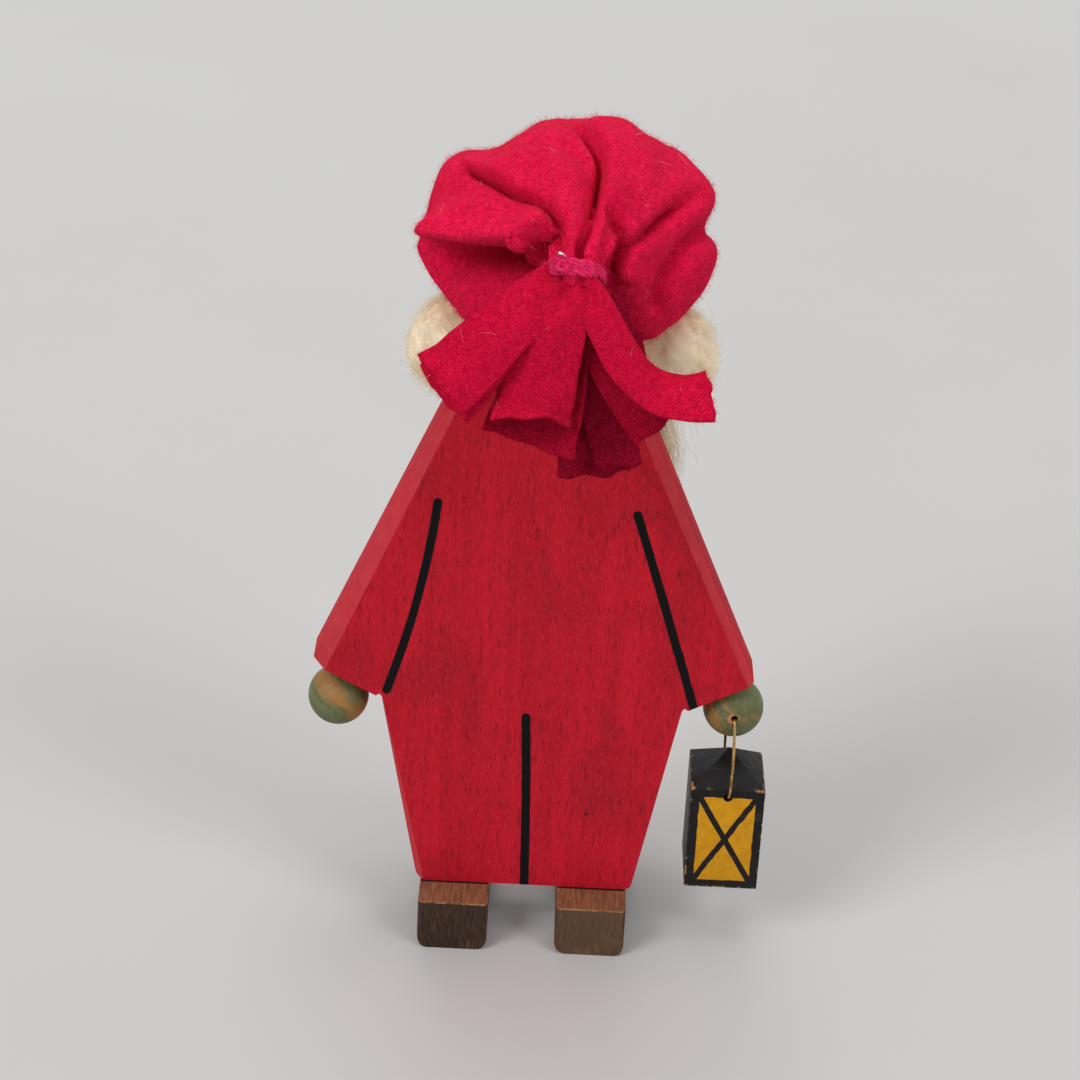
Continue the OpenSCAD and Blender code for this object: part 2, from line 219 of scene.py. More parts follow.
def worn_copy(node, rounding, material, body="root", dent=0.0, dent_size=6 * MM, seed=1):
    """A copy of a CAD node with rounded edges and a slightly uneven surface, which stands for it."""
    flat, sharp, shaded_sharp = np.radians([1, 24, 32])
    mesh = bmesh.new()
    mesh.from_mesh(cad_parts[node].data)
    bmesh.ops.remove_doubles(mesh, verts=mesh.verts, dist=0.001 * MM)
    bmesh.ops.dissolve_limit(mesh, angle_limit=flat, verts=mesh.verts, edges=mesh.edges)
    edges = [e for e in mesh.edges if len(e.link_faces) == 2 and e.calc_face_angle() > sharp]
    bmesh.ops.bevel(mesh, geom=edges, offset=rounding, segments=3, profile=0.5, affect="EDGES",
                    clamp_overlap=True)
    bmesh.ops.triangulate(mesh, faces=[f for f in mesh.faces if len(f.verts) > 4])
    data = bpy.data.meshes.new(node + "_worn")
    mesh.to_mesh(data)
    mesh.free()
    if dent:
        points = np.array([v.co for v in data.vertices])
        normals = np.array([v.normal for v in data.vertices])
        lowest = points[:, 2].min()
        points += normals * (dent * ripple(points, dent_size, seed))[:, None]
        points[:, 2] = np.maximum(points[:, 2], lowest)
        data.vertices.foreach_set("co", points.ravel())
    piece = riding(data.name, data, material, body)
    data.set_sharp_from_angle(angle=shaded_sharp)
    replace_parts(piece, node)


# ---------------- materials

def colour(red, green, blue):
    """A display colour from 0 to 255 as the linear colour that shaders use."""
    def linear(c):
        return c / 255 / 12.92 if c <= 10 else ((c / 255 + 0.055) / 1.055) ** 2.4

    return linear(red), linear(green), linear(blue), 1.0


class Paint:
    """A material's node tree, built by short calls. A value may be a number, a colour or a socket."""

    def __init__(self, name, roughness=0.6, specular=0.5):
        self.material = bpy.data.materials.new(name)
        self.material.use_nodes = True
        self.tree = self.material.node_tree
        self.shader = self.tree.nodes["Principled BSDF"]
        self.shader.inputs["Roughness"].default_value = roughness
        self.shader.inputs["Specular IOR Level"].default_value = specular
        self.place = self.node("TexCoord").outputs["Object"]
        self.normal = self.node("TexCoord").outputs["Normal"]

    def node(self, kind, inputs=(), **settings):
        node = self.tree.nodes.new("ShaderNode" + kind)
        for key, value in settings.items():
            setattr(node, key, value)
        for key, value in dict(inputs).items():
            self.put(node.inputs[key], value)
        return node

    def put(self, socket, value):
        if isinstance(value, bpy.types.NodeSocket):
            self.tree.links.new(value, socket)
        else:
            socket.default_value = value

    def stretched(self, x, y, z, place=None):
        """Places scaled along each axis: a small factor draws a noise out along its axis, as in grain."""
        return self.node("Mapping", {"Vector": place or self.place, "Scale": (x, y, z)}).outputs[0]

    def noise(self, scale, place=None, detail=4.0, rough=0.55, warp=0.0):
        values = {"Vector": place or self.place, "Scale": scale, "Detail": detail, "Roughness": rough,
                  "Distortion": warp}
        return self.node("TexNoise", values).outputs["Fac"]

    def spots(self, scale):
        return self.node("TexVoronoi", {"Vector": self.place, "Scale": scale}).outputs["Distance"]

    def fade(self, value, low, high, to_low=0.0, to_high=1.0):
        """to_low where a value is low, to_high where it is high, and a smooth change between."""
        values = {"Value": value, "From Min": low, "From Max": high, "To Min": to_low, "To Max": to_high}
        return self.node("MapRange", values, interpolation_type="SMOOTHSTEP").outputs["Result"]

    def calc(self, operation, *values):
        return self.node("Math", enumerate(values), operation=operation).outputs[0]

    def times(self, first, *others):
        for other in others:
            first = self.calc("MULTIPLY", first, other)
        return first

    def highest(self, first, *others):
        for other in others:
            first = self.calc("MAXIMUM", first, other)
        return first

    def plus(self, a, b):
        return self.calc("ADD", a, b)

    def minus(self, a, b):
        return self.calc("SUBTRACT", a, b)

    def size(self, a):
        return self.calc("ABSOLUTE", a)

    def vector(self, operation, *values, out=0):
        return self.node("VectorMath", enumerate(values), operation=operation).outputs[out]

    def joined(self, x=0.0, y=0.0, z=0.0):
        return self.node("CombineXYZ", {"X": x, "Y": y, "Z": z}).outputs[0]

    def distance(self, place, centre):
        return self.vector("LENGTH", self.vector("SUBTRACT", place, centre), out=1)

    def mix(self, share, below, above):
        """A share of a colour over another; each is a socket or a display colour. A Mix node's sockets
        6 and 7 and its output 2 are the ones for colours."""
        below, above = (colour(*c) if isinstance(c, tuple) else c for c in (below, above))
        return self.node("Mix", {0: share, 6: below, 7: above}, data_type="RGBA").outputs[2]

    def axes(self, vector=None):
        return self.node("SeparateXYZ", {"Vector": vector or self.place}).outputs

    def bump(self, height, depth, strength):
        values = {"Height": height, "Distance": depth, "Strength": strength}
        return self.node("Bump", values).outputs["Normal"]

    def finish(self, base, normal, roughness=None):
        self.put(self.shader.inputs["Base Color"], base)
        self.put(self.shader.inputs["Normal"], normal)
        if roughness is not None:
            self.put(self.shader.inputs["Roughness"], roughness)
        return self.material

    def stroke(self, start, end, half_width, sag, edge=0.15 * MM):
        """1 on a painted stroke from start to end in X and Z, bowed sideways by sag, and 0 off it."""
        begin = (start[0], 0, start[1])
        run = (end[0] - start[0], 0, end[1] - start[1])
        length_squared = run[0] ** 2 + run[2] ** 2
        x, _, z = self.axes()
        wobble = self.times(self.fade(self.noise(160, detail=3), 0, 1, -1, 1), 0.16 * MM)
        place = self.joined(self.plus(x, wobble), 0.0, z)
        reach = self.vector("DOT_PRODUCT", self.vector("SUBTRACT", place, begin), run, out=1)
        t = self.node("Clamp", {"Value": self.calc("DIVIDE", reach, length_squared)}).outputs[0]
        along = self.node("VectorMath", {0: run, "Scale": t}, operation="SCALE").outputs[0]
        arch = self.joined(self.times(t, self.minus(1.0, t), 4 * sag))
        nearest = self.vector("ADD", self.vector("ADD", along, begin), arch)
        return self.fade(self.distance(place, nearest), half_width - edge, half_width + edge, 1.0, 0.0)


def stained_wood():
    p = Paint("stained_wood", specular=0.2)
    fine = p.noise(1800, p.stretched(1, 1, 0.19), detail=4, rough=0.75)
    bands = p.noise(260, p.stretched(1, 1, 0.05), detail=4, warp=0.4)
    cloud = p.noise(34, p.stretched(1, 1, 0.8), detail=5, rough=0.62, warp=0.6)
    pores = p.noise(1350, p.stretched(1, 1, 0.15), detail=3)
    red = p.mix(p.fade(bands, 0.3, 0.7), (176, 9, 32), (192, 14, 37))
    red = p.mix(p.fade(cloud, 0.48, 0.66, 0, 0.6), red, (150, 10, 30))
    red = p.mix(p.fade(fine, 0.5, 0.68, 0, 0.6), red, (214, 44, 60))
    red = p.mix(p.fade(pores, 0.58, 0.66, 0, 0.6), red, (118, 4, 20))
    slant = p.size(p.axes(p.normal)[1])
    bevel = p.times(p.fade(slant, 0.45, 0.6), p.fade(slant, 0.85, 0.97, 1, 0))
    dusty = p.times(bevel, p.fade(p.noise(220), 0.25, 0.7, 0.45, 0.8))
    red = p.mix(dusty, red, (194, 58, 66))

    # The arms and the gap between the legs: ends (from the board's middle, above the floor), half
    # width and sag of each painted line, in mm.
    strokes = []
    for start, end, half_width, sag in [
            ((32.7, 162.9), (47.7, 93), 1.45, -1.9),
            ((-30.4, 161.8), (-53, 91.5), 1.45, -0.2),
            ((1.7, 85.2), (-0.4, 16), 1.5, -0.3)]:
        ends = [(BOARD[0] + aside * MM, up * MM) for aside, up in (start, end)]
        strokes.append(p.stroke(*ends, half_width * MM, sag * MM))
    black = p.times(p.highest(*strokes), p.fade(slant, 0.4, 0.6))
    knot_centre = (BOARD[0] - 20 * MM, BOARD_HIGH[1], 48.5 * MM)
    knot = p.fade(p.distance(p.place, knot_centre), 0.5 * MM, 1.1 * MM, 0.8, 0)
    red = p.mix(knot, red, (70, 8, 16))
    base = p.mix(black, red, (7, 5, 6))
    height = p.plus(p.times(fine, 0.7), p.times(black, 0.25))
    return p.finish(base, p.bump(height, 0.22 * MM, 0.5), p.fade(black, 0, 1, 0.72, 0.85))


def bare_wood():
    p = Paint("bare_wood", roughness=0.65, specular=0.3)
    rings = p.noise(420, p.stretched(1, 1, 0.1), detail=5)
    base = p.mix(p.fade(rings, 0.3, 0.7), (196, 158, 108), (222, 190, 146))
    return p.finish(base, p.bump(rings, 0.1 * MM, 0.5))


def shoe_wood():
    p = Paint("shoe_wood", roughness=0.7, specular=0.2)
    _, y, z = p.axes(p.normal)
    place_x, place_y, _ = p.axes()
    streak = p.noise(1300, p.stretched(1, 0.1, 1), detail=5, rough=0.65)
    end_streak = p.noise(1500, p.stretched(1, 1, 0.12), detail=5, rough=0.7)
    cloud = p.noise(95, detail=4)
    top = p.mix(p.fade(streak, 0.3, 0.72), (104, 62, 42), (146, 96, 66))
    top = p.mix(p.fade(cloud, 0.45, 0.7, 0, 0.5), top, (98, 60, 44))
    dark = p.mix(p.fade(end_streak, 0.35, 0.75), (44, 30, 23), (78, 58, 42))
    worn = p.times(p.fade(p.noise(110, detail=3), 0.48, 0.68), p.fade(end_streak, 0.46, 0.66))
    dark = p.mix(worn, dark, (124, 98, 60))
    dark = p.mix(p.fade(p.noise(60, detail=2), 0.56, 0.7, 0, 0.6), dark, (98, 70, 50))
    dark = p.mix(p.fade(place_x, 20 * MM, -20 * MM, 0, 0.4), dark, (122, 92, 68))
    end = p.fade(p.size(y), 0.55, 0.8)
    # Painted shade: the sides and the underside are a darker copy of the top's streaked brown.
    side = p.mix(p.fade(streak, 0.3, 0.7), (64, 40, 30), (106, 70, 50))
    base = p.mix(p.fade(z, 0.5, 0.8), side, top)
    base = p.mix(end, base, dark)
    rub = p.times(p.fade(z, 0.2, 0.45), p.fade(z, 0.6, 0.85, 1, 0), p.fade(p.noise(300), 0.35, 0.6))
    base = p.mix(rub, base, (160, 112, 72))
    # Painted shade: a dark line on the foot's top along the board's faces, where the two meet.
    from_board = p.minus(p.size(p.minus(place_y, BOARD[1])), (BOARD_HIGH - BOARD_LOW)[1] / 2)
    contact_shade = p.times(p.fade(from_board, 0.7 * MM, 1.3 * MM, 1, 0), p.fade(z, 0.7, 0.9))
    base = p.mix(contact_shade, base, (16, 10, 9))
    height = p.plus(streak, end_streak)
    return p.finish(base, p.bump(height, 0.14 * MM, 0.5), p.fade(cloud, 0.3, 0.7, 0.6, 0.8))


def hand_paint():
    p = Paint("hand_paint", roughness=0.55, specular=0.3)
    tilted = p.node("Mapping", {"Vector": p.place, "Rotation": (0, radians(38), 0)}).outputs[0]
    grain = p.noise(1500, p.stretched(1, 1, 0.12, tilted), detail=4)
    patches = p.noise(60, p.stretched(0.4, 0.7, 1.6, tilted), detail=3)
    fine = p.noise(700, detail=5, rough=0.7)
    green = p.mix(p.fade(fine, 0.3, 0.7), (84, 84, 50), (106, 110, 72))
    green = p.mix(p.fade(patches, 0.35, 0.5, 0.8, 0), green, (110, 122, 84))
    worn = p.times(p.fade(patches, 0.5, 0.64), p.fade(grain, 0.25, 0.6, 0.6, 1))
    base = p.mix(worn, green, (158, 112, 58))
    base = p.mix(p.fade(p.noise(48, detail=2), 0.5, 0.66, 0, 0.7), base, (72, 62, 36))
    base = p.mix(p.fade(p.spots(520), 0.05, 0.08, 0.6, 0), base, (52, 42, 30))
    # Bare wood where the paint has splintered off beside the wire's hole.
    x, _, z = p.axes()
    hole = (middle("lantern_wire")[0] + 0.8 * MM, 0, WIRE_HIGH[2])
    splinter = p.fade(p.distance(p.joined(x, 0.0, z), hole), 1.2 * MM, 1.9 * MM, 1, 0)
    base = p.mix(p.times(splinter, p.fade(fine, 0.35, 0.5)), base, (186, 122, 74))
    return p.finish(base, p.bump(p.plus(grain, fine), 0.08 * MM, 0.5), p.fade(fine, 0.3, 0.7, 0.45, 0.62))


def lantern_paint():
    """Black paint with a yellow window crossed by two black bars, chipped at the edges."""
    p = Paint("lantern_paint", specular=0.25)
    mid = middle("lantern")
    half = (LANTERN_HIGH - LANTERN_LOW)[0] / 2
    low, high = LANTERN_LOW[2] + 3 * MM, EAVE_Z - 3 * MM
    window_half = half - 2.9 * MM
    bar_half = 1.02 * MM
    edge = 0.12 * MM
    x, y, z = p.axes(p.vector("SUBTRACT", p.place, (mid[0], mid[1], 0)))
    wobble = p.fade(p.noise(260, detail=3), 0, 1, -0.3 * MM, 0.3 * MM)
    across = p.plus(x, wobble)
    up = p.plus(z, wobble)
    window = [
        p.fade(p.size(across), window_half - edge, window_half + edge, 1, 0),
        p.fade(up, low - edge, low + edge),
        p.fade(up, high - edge, high + edge, 1, 0),
        p.fade(p.size(p.axes(p.normal)[1]), 0.7, 0.9),
    ]
    slope = (high - low) / (2 * window_half)
    for side in (1, -1):
        level = p.minus(p.minus(up, (low + high) / 2), p.times(across, side * slope))
        away = p.calc("DIVIDE", p.size(level), hypot(slope, 1))
        window.append(p.fade(away, bar_half - edge, bar_half + edge))
    mottle = p.noise(330, detail=5, rough=0.65)
    yellow = p.mix(p.fade(mottle, 0.3, 0.7), (192, 130, 2), (208, 148, 8))
    yellow = p.mix(p.fade(p.spots(260), 0.03, 0.07, 0.8, 0), yellow, (120, 70, 20))
    scratch = p.noise(520, p.stretched(0.12, 1, 1), detail=4)
    black = p.mix(p.fade(scratch, 0.56, 0.75, 0, 0.7), (17, 13, 14), (58, 54, 54))
    base = p.mix(p.times(*window), black, yellow)

    # Bare wood shows along the upright edges, the foot and the eaves, most of all at the corners.
    from_side = [p.minus(half, p.size(axis)) for axis in (x, y)]
    rim = p.highest(p.calc("MINIMUM", *from_side), 0.0)
    upright = p.highest(*from_side)
    foot = p.minus(z, LANTERN_LOW[2])
    eave = p.size(p.minus(z, EAVE_Z))
    near_upright = p.fade(upright, 0.15 * MM, 0.6 * MM, 1, 0)
    near_foot = p.times(p.fade(foot, 0.2 * MM, 0.9 * MM, 1, 0), p.fade(rim, 0.3 * MM, 1.0 * MM, 1, 0))
    near_eave = p.times(p.fade(eave, 0.15 * MM, 0.8 * MM, 1, 0), p.fade(rim, 0.3 * MM, 1.2 * MM, 1, 0))
    bare = p.noise(430, detail=4, rough=0.6)
    edges = p.times(p.highest(near_eave, near_upright, near_foot), p.fade(bare, 0.56, 0.62))
    tips = p.times(p.fade(upright, 0.6 * MM, 1.8 * MM, 1, 0), p.highest(near_foot, near_eave))
    chips = p.highest(edges, p.times(tips, p.fade(bare, 0.4, 0.5)))
    base = p.mix(chips, base, (178, 128, 66))
    height = p.minus(p.times(mottle, 0.4), chips)
    return p.finish(base, p.bump(height, 0.15 * MM, 0.6), p.fade(scratch, 0.4, 0.7, 0.4, 0.62))


def brass():
    p = Paint("brass", roughness=0.3)
    p.shader.inputs["Metallic"].default_value = 1.0
    tarnish = p.noise(260, detail=4)
    base = p.mix(p.fade(tarnish, 0.35, 0.7), (216, 178, 112), (160, 116, 64))
    return p.finish(base, p.bump(p.noise(3000), 0.02 * MM, 0.4), p.fade(tarnish, 0.3, 0.7, 0.24, 0.42))


def steel():
    p = Paint("steel", roughness=0.22)
    p.shader.inputs["Metallic"].default_value = 1.0
    wear = p.noise(2400, p.stretched(0.2, 1, 1))
    base = p.mix(wear, (214, 214, 210), (244, 244, 242))
    return p.finish(base, p.bump(wear, 0.01 * MM, 0.4), p.fade(wear, 0.3, 0.7, 0.16, 0.3))


def felt(name, deep, lit, pale, sheen=0.12):
    """Napped wool felt: short matted fibres, a soft sheen and uneven dye."""
    p = Paint(name, roughness=0.95, specular=0.06)
    matted = p.noise(3200, warp=1.6, detail=4, rough=0.7)
    strands = p.noise(1300, warp=2.2, detail=3, rough=0.6)
    clumps = p.noise(600, warp=0.8, detail=4, rough=0.6)
    dye = p.noise(40, detail=3)
    base = p.mix(p.fade(clumps, 0.35, 0.65), deep, lit)
    base = p.mix(p.fade(dye, 0.35, 0.7, 0, 0.3), base, deep)
    base = p.mix(p.fade(matted, 0.36, 0.52, 0.7, 0), base, deep)
    base = p.mix(p.fade(p.times(matted, strands), 0.25, 0.37, 0, 0.75), base, pale)
    height = p.plus(p.times(clumps, 0.5), p.plus(matted, p.times(strands, 0.7)))
    p.shader.inputs["Sheen Weight"].default_value = sheen
    p.shader.inputs["Sheen Roughness"].default_value = 0.5
    p.shader.inputs["Sheen Tint"].default_value = colour(*pale)
    return p.finish(base, p.bump(height, 0.4 * MM, 0.8))


def wool():
    p = Paint("wool", roughness=0.9, specular=0.2)
    strands = p.noise(800, p.stretched(1, 1, 0.25), detail=5, warp=1.0)
    tone = p.noise(70, detail=3)
    base = p.mix(p.fade(tone, 0.3, 0.7), (238, 214, 178), (252, 236, 208))
    base = p.mix(p.fade(strands, 0.55, 0.8, 0, 0.35), base, (220, 190, 150))
    p.shader.inputs["Sheen Weight"].default_value = 0.3
    p.shader.inputs["Sheen Tint"].default_value = colour(255, 244, 224)
    p.shader.inputs["Subsurface Weight"].default_value = 0.25
    p.shader.inputs["Subsurface Radius"].default_value = (2 * MM, 1.5 * MM, 1 * MM)
    return p.finish(base, p.bump(strands, 0.3 * MM, 0.6))


def face_wood():
    """The head ball: a thin skin-coloured stain, two painted eyes and rosy cheeks."""
    p = Paint("face_wood", specular=0.35)
    rings = p.noise(420, p.stretched(1, 1, 0.12), detail=5)
    base = p.mix(p.fade(rings, 0.3, 0.7), (214, 160, 118), (232, 186, 146))
    x, y, z = p.axes(p.vector("SUBTRACT", p.place, tuple(HEAD)))
    front = p.fade(y, -0.5 * HEAD_R, -0.3 * HEAD_R, 1, 0)
    face = p.joined(p.size(x), 0.0, z)
    # Discs painted at both sides of the face: cheek, white of the eye, iris, pupil and its glint, each
    # with its place (aside, up), radius and soft edge in mm, and its colour.
    for aside, up, radius, edge, tint in [
            (12.5, -4, 4, 3, (206, 92, 76)),
            (7.6, 3.4, 2.1, 0.1, (246, 242, 232)),
            (7.4, 3.2, 1.5, 0.1, (46, 74, 104)),
            (7.4, 3.2, 0.85, 0.1, (18, 15, 15)),
            (7.9, 3.9, 0.32, 0.08, (250, 250, 246))]:
        away = p.distance(face, (aside * MM, 0, up * MM))
        disc = p.times(front, p.fade(away, (radius - edge) * MM, (radius + edge) * MM, 1, 0))
        base = p.mix(disc, base, tint)
    return p.finish(base, p.bump(rings, 0.08 * MM, 0.4), p.fade(rings, 0.3, 0.7, 0.42, 0.55))


FELT_CAP = felt("felt_cap", (208, 3, 52), (246, 9, 74), (255, 70, 108))
FELT_TAIL = felt("felt_tail", (186, 0, 44), (228, 3, 62), (248, 52, 88))
FELT_NAP = felt("felt_nap", (226, 10, 58), (242, 26, 74), (253, 96, 124))
YARN = felt("yarn", (240, 8, 84), (255, 24, 116), (255, 130, 170), sheen=0.15)
# Painted shade: the next two are the tail felt painted darker, one in half shade and one in deep shade, for
# the strips that hang in the shadow of the others.
FELT_PAINTED_HALF_SHADE = felt("felt_painted_half_shade", (150, 1, 34), (190, 3, 50), (224, 44, 80), sheen=0.08)
FELT_PAINTED_SHADE = felt("felt_painted_shade", (124, 1, 30), (162, 3, 42), (206, 40, 74), sheen=0.05)
STAINED = stained_wood()
BARE = bare_wood()
SHOE = shoe_wood()
HAND = hand_paint()
LANTERN = lantern_paint()
BRASS = brass()
STEEL = steel()
WOOL = wool()
FACE = face_wood()

for material, nodes in [
        (BARE, ["neck_dowel", "foot_dowel_left", "foot_dowel_right", "hand_peg_left", "hand_peg_right"]),
        (FACE, ["head", "nose"]),
        (HAND, ["hand_left", "hand_right"])]:
    for node in nodes:
        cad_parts[node].data.materials.clear()
        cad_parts[node].data.materials.append(material)

# ---------------- wooden parts

worn_copy("body_board", 0.45 * MM, STAINED, dent=0.05 * MM, dent_size=25 * MM)
worn_copy("foot_left", 0.35 * MM, SHOE, dent=0.05 * MM, seed=2)
worn_copy("foot_right", 0.35 * MM, SHOE, dent=0.05 * MM, seed=3)
worn_copy("lantern", 0.35 * MM, LANTERN, "lantern")


# ---------------- felt cap

FELT_T = 1.4 * MM
# The bag is round about an axis that leans back, and a little flattened from front to back.
LEAN_UP = leant_back(radians(12))
LEAN_BACK = np.cross(LEAN_UP, X)
CAP_AXIS = np.array([(CAP_LOW[0] + CAP_HIGH[0]) / 2, HEAD[1], HEAD[2]])
CAP_FLAT = 4.5 * MM
BRIM_Z = 2 * MM
BRIM_R = HEAD_R + 3 * MM
WIDE_Z = 22 * MM
CAP_RISE = CAP_HIGH[2] - HEAD[2] - 0.5 * MM
# The gathered neck rises from the tie and leans forward, into the bag.
TIE_UP = leant_back(-radians(22))
TIE_BACK = np.cross(TIE_UP, X)
# The camera looks at the back from this high. Folds and strips are laid out in its view plane.
VIEW_LIFT = radians(28)
VIEW_UP = leant_back(-VIEW_LIFT)
VIEW_OUT = np.cross(VIEW_UP, X)


def bag_radius(height):
    """Radius of the cap's bag at a height along its leaning axis."""
    crown_power = 0.425
    low = np.clip((WIDE_Z - height) / (WIDE_Z - BRIM_Z), 0, 1)
    below = BRIM_R + (CAP_R - BRIM_R) * np.sqrt(1 - low ** 2)
    high = np.clip((height - WIDE_Z) / (CAP_RISE - WIDE_Z), 0, 1)
    above = CAP_R * (1 - high ** 2) ** crown_power
    return np.where(height < WIDE_Z, below, above)


def in_bag(points):
    """The height of points along the leaning axis of the bag, and whether they lie inside the bag."""
    offset = points - CAP_AXIS
    across, back, height = offset @ X, offset @ LEAN_BACK, offset @ LEAN_UP
    reach = np.hypot(across, np.abs(back) + CAP_FLAT)
    return height, (reach < bag_radius(height)) & (height < CAP_RISE)


def halved(low, high, is_low, steps):
    """Where a test stops being true between low and high, found by halving the gap many times."""
    for _ in range(steps):
        half = (low + high) / 2
        before = is_low(half)
        low, high = np.where(before, half, low), np.where(before, high, half)
    return low


def facing(grid, closed, outward):
    """The grid and its normals, with its columns reversed if they face against outward on the whole."""
    normals = grid_normals(grid, closed)
    if np.mean(np.sum(normals * outward, -1)) >= 0:
        return grid, normals
    return grid[:, ::-1], grid_normals(grid[:, ::-1], closed)


def view_plane(points):
    """Right and up of points as seen from behind and above, in millimetres from the tie."""
    offset = points - TIE
    return np.stack([offset @ -X, offset @ VIEW_UP], -1) / MM


def from_line(places, line):
    """How far places lie to the left of a line, the share of the way along it, and the way to it."""
    count = 50
    curve = bow(line, count)
    gap = places[..., None, :] - curve
    nearest = np.linalg.norm(gap, axis=-1).argmin(-1)
    offset = np.take_along_axis(gap, nearest[..., None, None], 2)[..., 0, :]
    heading = unit(np.gradient(curve, axis=0))[nearest]
    away = np.linalg.norm(offset, axis=-1)
    left = np.sign(heading[..., 0] * offset[..., 1] - heading[..., 1] * offset[..., 0])
    return away * left, nearest / (count - 1), -offset / (away[..., None] + 1e-6)


def cap_body():
    """The bag as a grid: rows from the tie to the brim, columns round about, starting at the top."""
    rows, columns = 150, 320
    centre = CAP_AXIS + LEAN_UP * 4 * MM
    pole = unit(TIE + TIE_UP * 9 * MM - centre)
    aside = unit(X - pole * pole[0])
    upward = np.cross(aside, pole)
    upward *= np.sign(upward[2])
    turn = np.linspace(0, 2 * pi, columns, endpoint=False)
    outward = upward * np.cos(turn)[:, None] + aside * np.sin(turn)[:, None]

    def surface(angle):
        """The bag's surface in directions at an angle from the pole, one for each column."""
        direction = pole * np.cos(angle)[..., None] + outward * np.sin(angle)[..., None]
        nearest, farthest = (np.full(direction.shape[:-1], t) for t in (10 * MM, 90 * MM))
        away = halved(nearest, farthest, lambda t: in_bag(centre + direction * t[..., None])[1], 26)
        return centre + direction * away[..., None]

    first, last = (np.full(columns, angle) for angle in np.radians([12, 178]))
    brim = halved(first, last, lambda angle: in_bag(surface(angle))[0] > BRIM_Z, 30)
    start = radians(3)
    angle = start + (brim - start) * np.linspace(0, 1, rows)[:, None] ** 1.15
    body = surface(angle)
    reach = (angle - start) * CAP_R
    # The neck: a pleated ring inside the tie, which widens into the bag over 14 mm.
    pleat = 1 + 0.16 * np.sin(7 * turn + 0.6) + 0.09 * np.sin(12 * turn + 2)
    neck_r = (TIE_R - 5.4 * MM) * pleat + reach * 0.35
    neck = (TIE + TIE_UP * np.clip(reach * 1.15 - 3 * MM, None, 11 * MM)[..., None]
            + (TIE_BACK * np.cos(turn)[:, None] + X * np.sin(turn)[:, None]) * neck_r[..., None])
    mix = smooth((reach - 1 * MM) / (14 * MM))[..., None]
    return neck * (1 - mix) + body * mix, reach, turn


